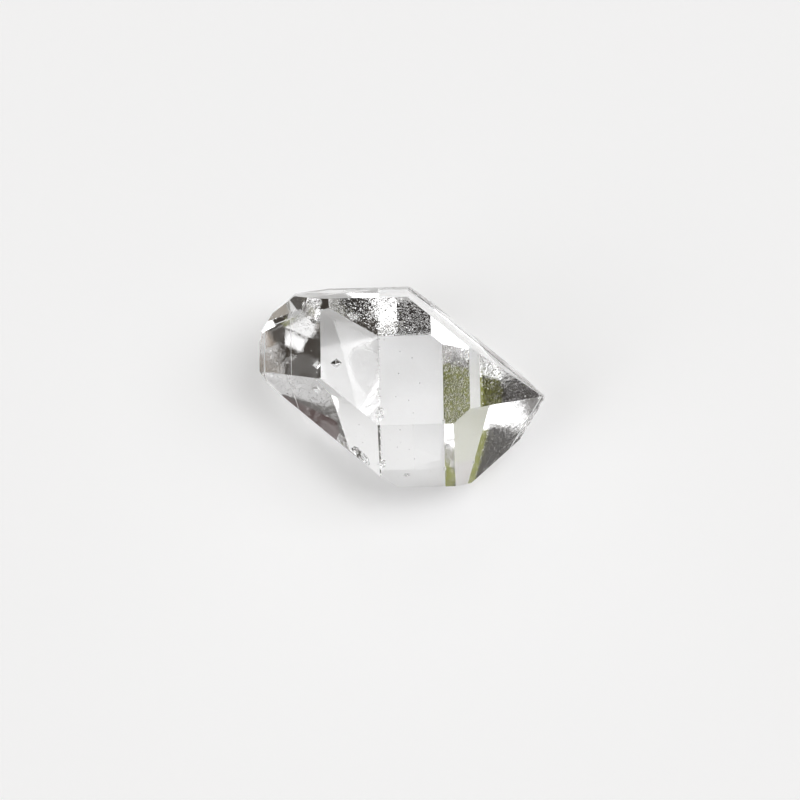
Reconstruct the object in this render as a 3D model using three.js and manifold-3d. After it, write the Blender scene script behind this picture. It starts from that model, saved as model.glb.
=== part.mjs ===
import * as THREE from 'three';
import { mergeVertices } from 'three/addons/utils/BufferGeometryUtils.js';
import Module from 'manifold-3d';

// A clear quartz crystal with a point at both ends, loose, lying on one of its prism faces.
// Millimetres. X runs along the crystal's long axis, +Y to its back and +Z up.
// The origin is under the middle of its box, on the plane that it rests on.

// ---------- Driving dimensions ----------

// Quartz's axial ratio c : a. It fixes the slope of every end face.
const AXIAL_RATIO = 1.1;

// Six sides go round the long axis, 60 degrees apart, from the top over the front to the back.
// Each has a prism face along the crystal and a sloping end face at its right and at its left.
// The numbers are how far these faces lie from the point that the crystal grew from.
const SIDES = {
  top: { prism: 5.09, right: 7.33, left: 7.73 },
  frontTop: { prism: 6.83, right: 7.9, left: 6.43 },
  frontFoot: { prism: 7.19, right: 8.93, left: 5.91 },
  bottom: { prism: 5.89, right: 6.65, left: 5.71 },
  backFoot: { prism: 7.33, right: 7.25, left: 9.2 },
  backTop: { prism: 7.39, right: 6.23, left: 10.82 },
};

// Ledges: the last growth raised a face by `rise` in a band of `width` beside a neighbouring face.
const LEDGES = [
  { raised: 'bottom right', beside: 'frontTop right', width: 0.9, rise: 0.05 },
  { raised: 'bottom left', beside: 'top left', width: 4.6, rise: 0.04 },
  { raised: 'bottom left', beside: 'top left', width: 0.7, rise: 0.13 },
  { raised: 'backTop right', beside: 'backFoot right', width: 1.4, rise: 0.06 },
];

// Shell-shaped scars where the crystal was knocked. Each lies on one face, by its edge with the
// next, where that edge passes x or y. Its middle is `onto` the face, in from the edge. It is
// `long` along the edge, `wide` across it and `deep`.
const SCARS = [
  { on: 'bottom prism', by: 'bottom left', y: -1.5, onto: 0, long: 1.3, wide: 0.9, deep: 0.24 },
  { on: 'frontTop left', by: 'frontFoot left', x: -3.3, onto: 0.5, long: 2, wide: 1.05, deep: 0.16 },
  { on: 'backFoot prism', by: 'bottom left', x: -3.95, onto: 0.45, long: 1.1, wide: 0.8, deep: 0.13 },
  { on: 'top prism', by: 'top left', y: 5.3, onto: 0, long: 0.7, wide: 0.4, deep: 0.08 },
  { on: 'top left', by: 'bottom left', y: 4.3, onto: 0, long: 1, wide: 0.6, deep: 0.1 },
  { on: 'frontTop prism', by: 'frontFoot prism', x: 0.35, onto: 1.25, long: 0.45, wide: 0.3, deep: 0.1 },
  { on: 'backTop prism', by: 'backFoot prism', x: -0.4, onto: 0.6, long: 0.5, wide: 0.3, deep: 0.06 },
  { on: 'bottom right', by: 'bottom prism', y: -2.2, onto: 0, long: 0.4, wide: 0.3, deep: 0.08 },
];

// The right-hand point is worn: small flakes are gone from its tip and from the face under it.
const WORN_TIP = [
  { on: 'backTop right', by: 'frontTop right', x: 11.15, onto: 0, long: 1, wide: 1, deep: 0.12 },
  { on: 'bottom right', by: 'frontTop right', x: 10.9, onto: 0.2, long: 0.7, wide: 0.5, deep: 0.06 },
  { on: 'bottom right', by: 'frontTop right', x: 10.3, onto: 0.35, long: 0.7, wide: 0.5, deep: 0.04 },
  { on: 'bottom right', by: 'frontTop right', x: 9.7, onto: 0.2, long: 0.6, wide: 0.35, deep: 0.035 },
  { on: 'bottom right', by: 'backTop right', x: 10.5, onto: 0.3, long: 0.6, wide: 0.5, deep: 0.05 },
];

// Fine nicks in a row along one edge of the face that it rests on, between two values of y.
const NICK_ROW = { on: 'bottom prism', by: 'bottom left', from: 5.2, to: -3.2, count: 27 };
const NICK = { onto: 0, long: 0.17, wide: 0.26, deep: 0.09 };

// A scar's cutter is an ellipsoid, this many times as high as the scar is deep.
const CUTTER_HEIGHT = 3.5;
// The height of the ripples on a scar as a share of the cutter, and how many there are.
const RIPPLE_HEIGHT = 0.02;
const RIPPLE_COUNT = 5;
// Where the blow fell that the ripples run out from, as a share of the way to the scar's end.
const STRIKE = 0.7;
// How far the outline of a scar wanders from a plain ellipse.
const OUTLINE_WANDER = 0.08;
// How finely the cutters are faceted.
const SCAR_DETAIL = 4;
const NICK_DETAIL = 1;

// The block that the crystal is cut from, larger than the crystal every way.
const BLOCK = 60;

const QUARTZ_COLOUR = 0xeceeee;
const QUARTZ_ROUGHNESS = 0.03;

// ---------- Crystal faces ----------

const SIDE_NAMES = Object.keys(SIDES);
const FACE_NAMES = SIDE_NAMES.flatMap((side) => Object.keys(SIDES[side]).map((kind) => `${side} ${kind}`));
// The angle between the long axis and the normal of an end face.
const END_TILT = Math.atan((AXIAL_RATIO * 2) / Math.sqrt(3));

// A face as a plane: its outward normal, and its distance from the point of first growth.
function facePlane(name) {
  const [side, kind] = name.split(' ');
  const turn = (SIDE_NAMES.indexOf(side) * Math.PI) / 3;
  const normal = new THREE.Vector3(0, -Math.sin(turn), Math.cos(turn));
  if (kind !== 'prism') {
    const endways = kind === 'right' ? 1 : -1;
    normal.multiplyScalar(Math.sin(END_TILT)).setX(endways * Math.cos(END_TILT));
  }
  return { normal, distance: SIDES[side][kind] };
}

// The plane across the crystal at one value of x or of y.
function crossPlane(x, y) {
  if (x === undefined) {
    return { normal: new THREE.Vector3(0, 1, 0), distance: y };
  }
  return { normal: new THREE.Vector3(1, 0, 0), distance: x };
}

function meetingPoint(planes) {
  const rows = planes.flatMap(({ normal }) => normal.toArray());
  const distances = new THREE.Vector3(...planes.map(({ distance }) => distance));
  return distances.applyMatrix3(new THREE.Matrix3().set(...rows).invert());
}

// ---------- Solids ----------

const wasm = await Module();
wasm.setup();

function toSolid(geometry) {
  const bare = geometry.clone();
  bare.deleteAttribute('normal');
  bare.deleteAttribute('uv');
  const merged = mergeVertices(bare);
  return new wasm.Manifold(
    new wasm.Mesh({
      numProp: 3,
      vertProperties: new Float32Array(merged.attributes.position.array),
      triVerts: new Uint32Array(merged.index.array),
    }),
  );
}

function toGeometry(solid) {
  const { vertProperties, triVerts } = solid.getMesh();
  const geometry = new THREE.BufferGeometry();
  geometry.setAttribute('position', new THREE.BufferAttribute(new Float32Array(vertProperties), 3));
  geometry.setIndex(new THREE.BufferAttribute(new Uint32Array(triVerts), 1));
  return geometry;
}

// Cuts away what lies beyond a plane, on the side that its normal points to.
function cutBeyond(solid, normal, distance) {
  return solid.trimByPlane(normal.clone().negate().toArray(), -distance);
}

// The block cut down to the crystal's faces.
function cutCrystal(raised = null, rise = 0) {
  let solid = toSolid(new THREE.BoxGeometry(BLOCK, BLOCK, BLOCK));
  for (const name of FACE_NAMES) {
    const { normal, distance } = facePlane(name);
    solid = cutBeyond(solid, normal, distance + (name === raised ? rise : 0));
  }
  return solid;
}

// The layer under a ledge: the crystal with one face raised, as far in as the ledge is wide.
function ledgeLayer({ raised, beside, width, rise }) {
  const { normal, distance } = facePlane(beside);
  return cutBeyond(cutCrystal(raised, rise), normal.negate(), width - distance);
}

// A rippled ellipsoid, whose lower side leaves a shell-shaped scar.
function scarCutter({ on, by, x, y, onto, long, wide, deep }, detail, turn) {
  const face = facePlane(on);
  const next = facePlane(by);
  const along = new THREE.Vector3().crossVectors(next.normal, face.normal).normalize();
  const inwards = new THREE.Vector3().crossVectors(along, face.normal);
  // A scar at the edge opens between the two faces, and one clear of the edge opens square to its own.
  const overEdge = Math.max(0, 1 - (2 * onto) / wide);
  const out = face.normal.clone().addScaledVector(next.normal, overEdge).normalize();
  const side = new THREE.Vector3().crossVectors(out, along);
  const height = deep * CUTTER_HEIGHT;
  // The share of the ellipsoid's width that is left at the level of the surface.
  const levelShare = Math.sqrt(1 - (1 - 1 / CUTTER_HEIGHT) ** 2);
  const middle = meetingPoint([face, next, crossPlane(x, y)]);
  middle.addScaledVector(inwards, onto).addScaledVector(out, height - deep);
  const frame = new THREE.Matrix4().makeBasis(
    along.multiplyScalar(long / 2 / levelShare),
    side.multiplyScalar(wide / 2 / levelShare),
    out.multiplyScalar(height),
  );
  frame.setPosition(middle);

  const geometry = new THREE.IcosahedronGeometry(1, detail);
  const points = geometry.attributes.position;
  const point = new THREE.Vector3();
  for (let i = 0; i < points.count; i += 1) {
    point.fromBufferAttribute(points, i);
    const around = Math.atan2(point.y, point.x) + turn;
    const wander = OUTLINE_WANDER * (Math.sin(2 * around + turn) + 0.6 * Math.sin(5 * around));
    const fromBlow = Math.hypot(point.x - STRIKE * Math.cos(turn), point.y - STRIKE * Math.sin(turn));
    const ripple = RIPPLE_HEIGHT * Math.cos(fromBlow * RIPPLE_COUNT * Math.PI);
    point.multiplyScalar(1 + ripple + wander * Math.hypot(point.x, point.y));
    point.applyMatrix4(frame);
    points.setXYZ(i, point.x, point.y, point.z);
  }
  return toSolid(geometry);
}

// ---------- The crystal ----------

let crystalSolid = cutCrystal();
for (const ledge of LEDGES) {
  crystalSolid = crystalSolid.add(ledgeLayer(ledge));
}

for (const [i, scar] of [...SCARS, ...WORN_TIP].entries()) {
  crystalSolid = crystalSolid.subtract(scarCutter(scar, SCAR_DETAIL, i * 1.3));
}

for (let i = 0; i < NICK_ROW.count; i += 1) {
  // The nicks are unevenly spaced and of uneven size.
  const uneven = Math.sin(i * 2.4);
  const share = (i + 0.3 * uneven) / (NICK_ROW.count - 1);
  const size = 0.75 + 0.25 * uneven;
  const nick = {
    on: NICK_ROW.on,
    by: NICK_ROW.by,
    y: NICK_ROW.from + (NICK_ROW.to - NICK_ROW.from) * share,
    onto: NICK.onto,
    long: NICK.long * size,
    wide: NICK.wide * size,
    deep: NICK.deep * size,
  };
  crystalSolid = crystalSolid.subtract(scarCutter(nick, NICK_DETAIL, i));
}

const crystalGeometry = toGeometry(crystalSolid);
crystalGeometry.computeBoundingBox();
const box = crystalGeometry.boundingBox;

const crystal = new THREE.Mesh(
  crystalGeometry,
  new THREE.MeshStandardMaterial({
    color: QUARTZ_COLOUR,
    roughness: QUARTZ_ROUGHNESS,
    metalness: 0,
  }),
);
crystal.name = 'crystal';
crystal.position.set(-(box.min.x + box.max.x) / 2, -(box.min.y + box.max.y) / 2, -box.min.z);

const part = new THREE.Group();
part.add(crystal);

export default part;
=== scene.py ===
import math

import bmesh
import bpy
from mathutils import Matrix, Vector, noise
from mathutils.bvhtree import BVHTree


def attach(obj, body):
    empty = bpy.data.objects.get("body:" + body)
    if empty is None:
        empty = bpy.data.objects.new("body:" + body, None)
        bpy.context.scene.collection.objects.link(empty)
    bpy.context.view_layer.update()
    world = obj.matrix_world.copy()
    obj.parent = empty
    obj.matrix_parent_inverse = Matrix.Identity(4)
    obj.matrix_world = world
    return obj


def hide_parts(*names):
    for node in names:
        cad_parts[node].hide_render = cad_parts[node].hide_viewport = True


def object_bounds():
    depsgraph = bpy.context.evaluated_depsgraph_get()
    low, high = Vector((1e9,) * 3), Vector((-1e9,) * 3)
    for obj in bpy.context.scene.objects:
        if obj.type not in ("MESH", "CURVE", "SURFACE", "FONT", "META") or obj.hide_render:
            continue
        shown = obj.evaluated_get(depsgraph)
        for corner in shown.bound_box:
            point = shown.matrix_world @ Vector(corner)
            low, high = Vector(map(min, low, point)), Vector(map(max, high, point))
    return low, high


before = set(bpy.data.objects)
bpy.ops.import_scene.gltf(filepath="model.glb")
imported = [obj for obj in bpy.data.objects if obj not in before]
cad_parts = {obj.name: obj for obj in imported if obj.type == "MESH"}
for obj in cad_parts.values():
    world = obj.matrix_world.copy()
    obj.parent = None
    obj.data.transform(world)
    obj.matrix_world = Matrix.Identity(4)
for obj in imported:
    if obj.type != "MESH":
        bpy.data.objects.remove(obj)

cad_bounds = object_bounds()
scene = bpy.context.scene
MM = 0.001

# ---------- Camera ----------
# A long lens far above the table looks down on the crystal, from its front and a little from its right.
# The crystal takes up about a third of the picture's width.
camera_data = bpy.data.cameras.new("camera")
camera_data.lens = 180
camera_data.sensor_width = 36
camera_data.clip_start = 0.01
camera_data.clip_end = 10
camera = bpy.data.objects.new("camera", camera_data)
scene.collection.objects.link(camera)
scene.camera = camera

camera_aim = Vector((-0.319, 1.028, 0)) * MM
camera_distance = 317.95 * MM
camera_lean = Matrix.Rotation(math.radians(20.751), 4, "X")
camera_swing = Matrix.Rotation(math.radians(1.232), 4, "Y")
camera_roll = Matrix.Rotation(math.radians(-1.388), 4, "Z")
camera_place = Matrix.Translation(camera_aim) @ camera_lean @ camera_swing @ camera_roll
camera.matrix_world = camera_place @ Matrix.Translation((0, 0, camera_distance))

# ---------- Table ----------
# A round sheet of lacquered white opal board that the crystal lies on, lit a little from below.
# It stays a hair below the crystal, so that there is air between the two faces.
table_radius = 0.7
table_sides = 96
table_gap = 0.02 * MM
table_colour = (0.70, 0.70, 0.71, 1)
table_glow = 0.325
lacquer_index = 1.5
lacquer_roughness = 0.15

table_mesh = bmesh.new()
bmesh.ops.create_circle(table_mesh, cap_ends=True, segments=table_sides, radius=table_radius)
bmesh.ops.translate(table_mesh, verts=table_mesh.verts, vec=(0, 0, -table_gap))
table_data = bpy.data.meshes.new("table")
table_mesh.to_mesh(table_data)
table_mesh.free()
table = bpy.data.objects.new("table", table_data)
scene.collection.objects.link(table)

table_material = bpy.data.materials.new("opal board")
table_material.use_nodes = True
table_surface = table_material.node_tree.nodes["Principled BSDF"]
table_surface.inputs["Base Color"].default_value = table_colour
table_surface.inputs["Roughness"].default_value = 1
table_surface.inputs["Specular IOR Level"].default_value = 0
table_surface.inputs["Coat Weight"].default_value = 1
table_surface.inputs["Coat IOR"].default_value = lacquer_index
table_surface.inputs["Coat Roughness"].default_value = lacquer_roughness
table_surface.inputs["Emission Color"].default_value = (1, 1, 1, 1)
table_surface.inputs["Emission Strength"].default_value = table_glow
table_data.materials.append(table_material)

# ---------- Studio light ----------
# A dim room with softboxes on its left, right, back and overhead, shelves, and dark and dull green
# cards. The crystal's faces mirror them, so each has its own place in the round: turn goes
# anticlockwise from the right, and height is above the horizon.
world = bpy.data.worlds.new("studio")
scene.world = world
world.use_nodes = True
sky = world.node_tree


def add_node(tree, kind, **settings):
    node = tree.nodes.new(kind)
    for name, value in settings.items():
        setattr(node, name, value)
    return node


def feed(tree, node, socket, value):
    if isinstance(value, bpy.types.NodeSocket):
        tree.links.new(value, node.inputs[socket])
    else:
        node.inputs[socket].default_value = value


def calculate(tree, operation, first, second=0.0):
    node = add_node(tree, "ShaderNodeMath", operation=operation)
    feed(tree, node, 0, first)
    feed(tree, node, 1, second)
    return node.outputs[0]


# The group gives 1 inside a flat panel that faces the crystal, and 0 outside it.
panel_group = bpy.data.node_groups.new("flat panel", "ShaderNodeTree")
panel_group.interface.new_socket("Direction", in_out="INPUT", socket_type="NodeSocketVector")
for name in ("Turn", "Height", "Half Width", "Half Height", "Edge"):
    panel_group.interface.new_socket(name, in_out="INPUT", socket_type="NodeSocketFloat")
panel_group.interface.new_socket("Mask", in_out="OUTPUT", socket_type="NodeSocketFloat")
panel_in = panel_group.nodes.new("NodeGroupInput").outputs
panel_out = panel_group.nodes.new("NodeGroupOutput")

turned = add_node(panel_group, "ShaderNodeVectorRotate", rotation_type="Z_AXIS", invert=True)
feed(panel_group, turned, "Vector", panel_in["Direction"])
feed(panel_group, turned, "Angle", panel_in["Turn"])
levelled = add_node(panel_group, "ShaderNodeVectorRotate", rotation_type="Y_AXIS")
feed(panel_group, levelled, "Vector", turned.outputs[0])
feed(panel_group, levelled, "Angle", panel_in["Height"])
towards = add_node(panel_group, "ShaderNodeSeparateXYZ")
feed(panel_group, towards, "Vector", levelled.outputs[0])
mask = calculate(panel_group, "GREATER_THAN", towards.outputs["X"], 0.0)
for axis, half in (("Y", "Half Width"), ("Z", "Half Height")):
    offset = calculate(panel_group, "DIVIDE", towards.outputs[axis], towards.outputs["X"])
    offset = calculate(panel_group, "ABSOLUTE", offset)
    edge_start = calculate(panel_group, "SUBTRACT", panel_in[half], panel_in["Edge"])
    edge_end = calculate(panel_group, "ADD", panel_in[half], panel_in["Edge"])
    inside = add_node(panel_group, "ShaderNodeMapRange", interpolation_type="SMOOTHSTEP")
    feed(panel_group, inside, "Value", offset)
    feed(panel_group, inside, "From Min", edge_start)
    feed(panel_group, inside, "From Max", edge_end)
    feed(panel_group, inside, "To Min", 1.0)
    feed(panel_group, inside, "To Max", 0.0)
    mask = calculate(panel_group, "MULTIPLY", mask, inside.outputs[0])
feed(panel_group, panel_out, "Mask", mask)

# Each panel: turn, height, half width, half height and softness of its edge, in degrees, then colour.
# Where two overlap, the one further down the list hangs in front.
room_colour = (0.05, 0.043, 0.036, 1)
panels = {
    "far wall": (108, 17, 17, 5, 2, (0.32, 0.25, 0.19)),
    "back card": (123, 45, 5, 13, 1, (0.46, 0.44, 0.37)),
    "left shelf": (178, 10, 8, 5, 1, (0.66, 0.62, 0.60)),
    "front shelf": (-46, 28.5, 15, 4, 1, (0.38, 0.35, 0.31)),
    "right shelf": (5, 27, 13, 5, 1, (0.015, 0.012, 0.01)),
    "low card": (-8, 1, 7, 2, 0.5, (0.9, 0.9, 0.9)),
    "low wall": (25, 8, 12, 4, 1, (0.035, 0.004, 0)),
    "ceiling": (-150, 83, 10, 10, 2, (0.5, 0.49, 0.47)),
    "green card": (145, 57, 12, 11, 0.1, (0.24, 0.255, 0.03)),
    "dark card": (97, 69, 15.33, 8, 0.1, (0.01, 0.006, 0.004)),
    "slot in the dark card": (93, 71.4, 4, 2.2, 0.4, (0.95, 0.94, 0.93)),
    "left softbox": (-150, 42, 15.6, 22.5, 2, (2.5, 2.5, 2.5)),
    "right softbox": (1.5, 57, 15.5, 24, 0.7, (2.5, 2.5, 2.5)),
    "back softbox": (89, 46, 8, 9, 2, (1.3, 1.3, 1.3)),
    "overhead softbox": (-20, 68, 9.5, 15, 2, (7, 7, 7)),
}

# A Mix node's colour sockets share their names with others of its sockets, so they go by number.
mix_behind = 6
mix_in_front = 7
mix_result = 2

direction = add_node(sky, "ShaderNodeTexCoord").outputs["Generated"]
room_walls = add_node(sky, "ShaderNodeRGB")
room_walls.outputs[0].default_value = room_colour
light = room_walls.outputs[0]
for name, (turn, height, half_width, half_height, edge, colour) in panels.items():
    panel = add_node(sky, "ShaderNodeGroup", node_tree=panel_group, label=name)
    feed(sky, panel, "Direction", direction)
    feed(sky, panel, "Turn", math.radians(turn))
    feed(sky, panel, "Height", math.radians(height))
    feed(sky, panel, "Half Width", math.tan(math.radians(half_width)))
    feed(sky, panel, "Half Height", math.tan(math.radians(half_height)))
    feed(sky, panel, "Edge", math.tan(math.radians(edge)))
    hung = add_node(sky, "ShaderNodeMix", data_type="RGBA")
    feed(sky, hung, "Factor", panel.outputs["Mask"])
    feed(sky, hung, mix_behind, light)
    feed(sky, hung, mix_in_front, (*colour, 1))
    light = hung.outputs[mix_result]

# Past the edge of the table the camera sees a plain pale wall.
wall_colour = (0.8, 0.8, 0.8, 1)
lit_room = sky.nodes["Background"]
feed(sky, lit_room, "Color", light)
plain_wall = add_node(sky, "ShaderNodeBackground")
feed(sky, plain_wall, "Color", wall_colour)
seen = add_node(sky, "ShaderNodeMixShader")
feed(sky, seen, 0, add_node(sky, "ShaderNodeLightPath").outputs["Is Camera Ray"])
feed(sky, seen, 1, lit_room.outputs[0])
feed(sky, seen, 2, plain_wall.outputs[0])
feed(sky, sky.nodes["World Output"], "Surface", seen.outputs[0])

# Light goes round inside the crystal many times before it leaves.
inner_bounces = 32
scene.cycles.max_bounces = inner_bounces
scene.cycles.glossy_bounces = inner_bounces
scene.cycles.transmission_bounces = inner_bounces
scene.cycles.diffuse_bounces = 3
scene.cycles.blur_glossy = 0.5
scene.cycles.use_denoising = True
scene.view_settings.view_transform = "Standard"

# ---------- Crystal ----------
# A clear, colourless quartz crystal with a point at both ends, broken off the rock that it grew on.
# Three faces kept a fine growth grain, its scars are crumbly, and small cavities are sealed in it.
# A growth face is named by its side, counted from the top over the front, and its end, 1 at the right.
axial_ratio = 1.1
end_tilt = math.atan(axial_ratio * 2 / math.sqrt(3))


def growth_face(side, end):
    turn = math.radians(60 * side)
    across = Vector((0, -math.sin(turn), math.cos(turn)))
    if end == 0:
        return across
    return across * math.sin(end_tilt) + Vector((end * math.cos(end_tilt), 0, 0))


quartz_index = 1.548
quartz = bpy.data.materials.new("clear quartz")
quartz.use_nodes = True
quartz_surface = quartz.node_tree.nodes["Principled BSDF"]
quartz_surface.inputs["Base Color"].default_value = (1, 1, 1, 1)
quartz_surface.inputs["Roughness"].default_value = 0.0
quartz_surface.inputs["IOR"].default_value = quartz_index
quartz_surface.inputs["Transmission Weight"].default_value = 1

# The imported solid's loose triangles are joined, and those that lie in one plane become one face.
merge_distance = 0.0005 * MM
flat_enough = math.radians(0.2)
crystal_mesh = bmesh.new()
crystal_mesh.from_mesh(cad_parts["crystal"].data)
bmesh.ops.remove_doubles(crystal_mesh, verts=crystal_mesh.verts, dist=merge_distance)
bmesh.ops.dissolve_limit(
    crystal_mesh, angle_limit=flat_enough, verts=crystal_mesh.verts, edges=crystal_mesh.edges
)

# The noise of the scars and of the grain. Without a seed it differs from run to run.
noise_seed = 5
noise.seed_set(noise_seed)

# Scars: every small face that is not a growth face is split finer and crumbled, as far as the scar's
# outline. No crumb stands out of the crystal's box, so none goes into the table.
crumb_size = 0.09 * MM
crumb_depth = 0.09 * MM
crumb_clearance = 0.005 * MM
scar_face_limit = 1 * MM
# The cosine of the angle to a growth face, past which a face counts as part of it.
growth_match = 0.9995
growth_faces = [growth_face(side, end) for side in range(6) for end in (-1, 0, 1)]


def scarred(face):
    slanted = max(face.normal.dot(growth) for growth in growth_faces) < growth_match
    return slanted and face.calc_perimeter() < scar_face_limit


scar_edges = [edge for edge in crystal_mesh.edges if all(scarred(face) for face in edge.link_faces)]
bmesh.ops.subdivide_edges(crystal_mesh, edges=scar_edges, cuts=1, use_grid_fill=True)
crystal_mesh.normal_update()
scar_verts = [vert for vert in crystal_mesh.verts if all(scarred(face) for face in vert.link_faces)]
for vert in scar_verts:
    vert.co += noise.noise_vector(vert.co / crumb_size) * crumb_depth
    for axis, (low, high) in enumerate(zip(*cad_bounds)):
        vert.co[axis] = min(max(vert.co[axis], low + crumb_clearance), high - crumb_clearance)

# Growth grain: three faces are cut into small cells, and each cell is tilted by a fraction of a degree.
# Two of them have pits here and there, and on one, long low steps run towards the right-hand tip.
grain_cell = 0.065 * MM
grain_match = 0.9999
cut_snap = 0.001 * MM
# How many waves of the tilting noise, and how many pits, fit on the length of a cell.
tilt_waves = 0.83
pits_across = 3
# How far the corners of a cell wander, as a share of its length.
corner_wander = 0.3
# The higher this is, the fewer of the pits are deep.
pit_rarity = 8
step_depth = 0.008 * MM
step_width = 0.2 * MM
step_length = 3 * MM
step_start = 5 * MM
step_end = 9 * MM
# Each face, the depth of its grain and of its deepest pits, and its share of the steps.
grainy_faces = (
    (growth_face(3, 1), 0.0001 * MM, 0.004 * MM, 1),
    (growth_face(3, -1), 0.0005 * MM, 0, 0),
    (growth_face(4, 0), 0.0003 * MM, 0.006 * MM, 0),
)
for normal, grain_depth, pit_depth, stepped in grainy_faces:
    lengthways = (Vector((1, 0, 0)) - normal * normal.x).normalized()
    crossways = normal.cross(lengthways)
    cells = [face for face in crystal_mesh.faces if face.normal.dot(normal) > grain_match]
    # Each plane cuts only the cells that the last plane left beyond it.
    for direction in (lengthways, crossways):
        reach = [direction.dot(vert.co) for face in cells for vert in face.verts]
        place = min(reach) + grain_cell
        passed = []
        while place < max(reach):
            pieces = dict.fromkeys(cells)
            for face in cells:
                pieces.update(dict.fromkeys(face.edges))
                pieces.update(dict.fromkeys(face.verts))
            cut = bmesh.ops.bisect_plane(
                crystal_mesh,
                geom=list(pieces),
                dist=cut_snap,
                plane_co=direction * place,
                plane_no=direction,
            )
            cells = []
            for piece in cut["geom"]:
                if not isinstance(piece, bmesh.types.BMFace):
                    continue
                if direction.dot(piece.calc_center_median()) > place:
                    cells.append(piece)
                else:
                    passed.append(piece)
            place += grain_cell
        cells += passed
    grained = set(cells)
    corners = dict.fromkeys(vert for face in cells for vert in face.verts)
    inner_corners = [vert for vert in corners if all(face in grained for face in vert.link_faces)]
    for vert in inner_corners:
        shift = noise.noise_vector(vert.co / grain_cell * tilt_waves)
        pitted = abs(noise.cell(vert.co / grain_cell * pits_across)) ** pit_rarity
        along = lengthways.dot(vert.co) / step_length
        across = crossways.dot(vert.co) / step_width
        towards_tip = (vert.co.x - step_start) / (step_end - step_start)
        stepping = stepped * min(max(towards_tip, 0), 1)
        height = grain_depth * shift.z - pit_depth * pitted
        height += step_depth * stepping * noise.noise(Vector((along, across, 0)))
        vert.co += (lengthways * shift.x + crossways * shift.y) * grain_cell * corner_wander
        vert.co += normal * height

# Cavities: hollows sealed in the quartz, each of them a closed skin.
voids = []

# The largest is a small crystal shape of its own, set the same way as the quartz round it.
hollow_place = Vector((-5.07, 1.35, 5.5)) * MM
hollow_radius = 0.4 * MM
hollow_half_length = 0.01 * MM
hollow_mesh = bmesh.new()
for end in (-1, 1):
    for side in range(6):
        corner = growth_face(side + 0.5, 0) * hollow_radius
        hollow_mesh.verts.new(hollow_place + corner + Vector((end * hollow_half_length, 0, 0)))
    tip = hollow_half_length + hollow_radius * axial_ratio
    hollow_mesh.verts.new(hollow_place + Vector((end * tip, 0, 0)))
bmesh.ops.convex_hull(hollow_mesh, input=hollow_mesh.verts)
hollow_data = bpy.data.meshes.new("hollow")
hollow_mesh.to_mesh(hollow_data)
hollow_mesh.free()
voids.append(hollow_data)

# A fine curved crack runs close under the upper left face.
crack_radius = 0.014 * MM
crack_sink = 0.035 * MM
crack_path = ((-10.62, 4.02), (-9.87, 4.07), (-9.05, 4.21), (-8.48, 4.69), (-8.15, 5.33))
well_above = 20 * MM
down = Vector((0, 0, -1))
crystal_skin = BVHTree.FromBMesh(crystal_mesh)
crack_curve = bpy.data.curves.new("crack", "CURVE")
crack_curve.dimensions = "3D"
crack_curve.bevel_depth = crack_radius
crack_curve.bevel_resolution = 1
crack_curve.use_fill_caps = True
crack_spline = crack_curve.splines.new("NURBS")
crack_spline.points.add(len(crack_path) - 1)
crack_spline.use_endpoint_u = True
for point, (x, y) in zip(crack_spline.points, crack_path):
    above = Vector((x * MM, y * MM, well_above))
    surface, surface_normal, _, _ = crystal_skin.ray_cast(above, down)
    point.co = (*(surface - surface_normal * crack_sink), 1)
crack = bpy.data.objects.new("crack", crack_curve)
scene.collection.objects.link(crack)
bpy.context.view_layer.update()
finished_crack = crack.evaluated_get(bpy.context.evaluated_depsgraph_get())
voids.append(bpy.data.meshes.new_from_object(finished_crack))
bpy.data.objects.remove(crack)

# Specks of trapped gas lie where the faces of the growing crystal once stood, and close together on
# healed cracks. Both are sheets that the specks are scattered on.
speck_seed = 11
# A Random Value node has two limits and a result for each kind of value. These are for plain numbers.
random_min = 2
random_max = 3
random_result = 1
speck_tree = bpy.data.node_groups.new("specks on a sheet", "GeometryNodeTree")
speck_tree.interface.new_socket("Sheet", in_out="INPUT", socket_type="NodeSocketGeometry")
speck_sockets = {}
for name in ("Density", "Smallest", "Largest"):
    socket = speck_tree.interface.new_socket(name, in_out="INPUT", socket_type="NodeSocketFloat")
    speck_sockets[name] = socket.identifier
speck_tree.interface.new_socket("Specks", in_out="OUTPUT", socket_type="NodeSocketGeometry")
speck_in = speck_tree.nodes.new("NodeGroupInput").outputs
speck_out = speck_tree.nodes.new("NodeGroupOutput")

scattered = add_node(speck_tree, "GeometryNodeDistributePointsOnFaces")
feed(speck_tree, scattered, "Mesh", speck_in["Sheet"])
feed(speck_tree, scattered, "Density", speck_in["Density"])
feed(speck_tree, scattered, "Seed", speck_seed)
bubble = add_node(speck_tree, "GeometryNodeMeshIcoSphere")
bubble_radius = add_node(speck_tree, "FunctionNodeRandomValue", data_type="FLOAT")
feed(speck_tree, bubble_radius, random_min, speck_in["Smallest"])
feed(speck_tree, bubble_radius, random_max, speck_in["Largest"])
feed(speck_tree, bubble_radius, "Seed", speck_seed)
placed = add_node(speck_tree, "GeometryNodeInstanceOnPoints")
feed(speck_tree, placed, "Points", scattered.outputs["Points"])
feed(speck_tree, placed, "Instance", bubble.outputs["Mesh"])
feed(speck_tree, placed, "Scale", bubble_radius.outputs[random_result])
realized = add_node(speck_tree, "GeometryNodeRealizeInstances")
feed(speck_tree, realized, "Geometry", placed.outputs["Instances"])
coated = add_node(speck_tree, "GeometryNodeSetMaterial")
feed(speck_tree, coated, "Geometry", realized.outputs["Geometry"])
feed(speck_tree, coated, "Material", quartz)
feed(speck_tree, speck_out, "Specks", coated.outputs["Geometry"])

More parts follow.
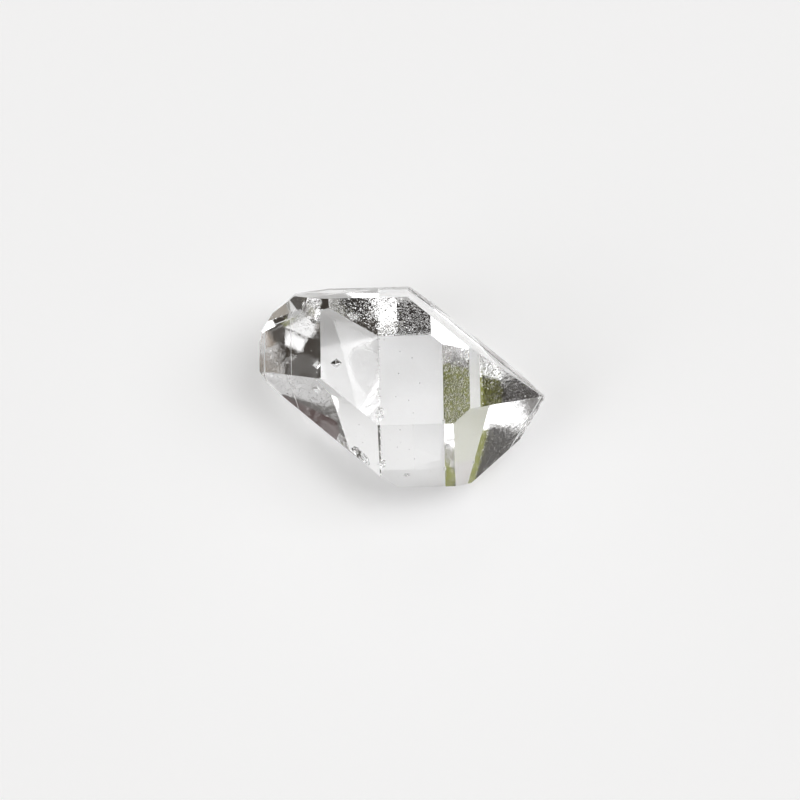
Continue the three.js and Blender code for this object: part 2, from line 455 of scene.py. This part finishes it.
# The crystal when it was smaller, about the same middle.
former_size = 0.82
former_crystal = bmesh.new()
former_crystal.from_mesh(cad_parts["crystal"].data)
crystal_middle = (cad_bounds[0] + cad_bounds[1]) / 2
bmesh.ops.scale(
    former_crystal,
    vec=(former_size, former_size, former_size),
    space=Matrix.Translation(-crystal_middle),
    verts=former_crystal.verts,
)

# A healed crack goes down from a line close under the top face.
crack_lines = (((-5.14, 3.52), (-4.76, 2.35)), ((-2.77, 1.22), (-1.70, 0.70)))
crack_top = 10.9 * MM
crack_fall = Vector((0.05, 0.25, -0.9)) * MM
healed_cracks = bmesh.new()
for line in crack_lines:
    upper = [Vector((x * MM, y * MM, crack_top)) for x, y in line]
    lower = [point + crack_fall for point in reversed(upper)]
    healed_cracks.faces.new([healed_cracks.verts.new(point) for point in upper + lower])

# Each kind of sheet, then how many specks lie on a square millimetre and the radii of the smallest and
# the largest of them, in millimetres.
speckled_sheets = (
    ("former faces", former_crystal, 0.12, 0.025, 0.065),
    ("healed cracks", healed_cracks, 100, 0.012, 0.026),
)
for name, sheet_mesh, density, smallest, largest in speckled_sheets:
    sheet_data = bpy.data.meshes.new(name)
    sheet_mesh.to_mesh(sheet_data)
    sheet_mesh.free()
    sheet = bpy.data.objects.new(name, sheet_data)
    scene.collection.objects.link(sheet)
    specks = sheet.modifiers.new("specks", "NODES")
    specks.node_group = speck_tree
    specks[speck_sockets["Density"]] = density / MM**2
    specks[speck_sockets["Smallest"]] = smallest * MM
    specks[speck_sockets["Largest"]] = largest * MM
    bpy.context.view_layer.update()
    speckled_sheet = sheet.evaluated_get(bpy.context.evaluated_depsgraph_get())
    voids.append(bpy.data.meshes.new_from_object(speckled_sheet))
    bpy.data.objects.remove(sheet)

# The skin of a cavity faces inwards, away from the quartz.
for void in voids:
    skin = bmesh.new()
    skin.from_mesh(void)
    bmesh.ops.remove_doubles(skin, verts=skin.verts, dist=merge_distance)
    bmesh.ops.recalc_face_normals(skin, faces=skin.faces)
    bmesh.ops.reverse_faces(skin, faces=skin.faces)
    skin.to_mesh(void)
    skin.free()
    crystal_mesh.from_mesh(void)
    bpy.data.meshes.remove(void)

bmesh.ops.triangulate(crystal_mesh, faces=crystal_mesh.faces)
for face in crystal_mesh.faces:
    face.smooth = False
crystal_data = bpy.data.meshes.new("quartz_crystal")
crystal_mesh.to_mesh(crystal_data)
crystal_mesh.free()
# Clearing the slots also sets back the slot numbers that the specks' faces brought with them.
crystal_data.materials.clear()
crystal_data.materials.append(quartz)
crystal = bpy.data.objects.new("quartz_crystal", crystal_data)
scene.collection.objects.link(crystal)

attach(crystal, "root")
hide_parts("crystal")
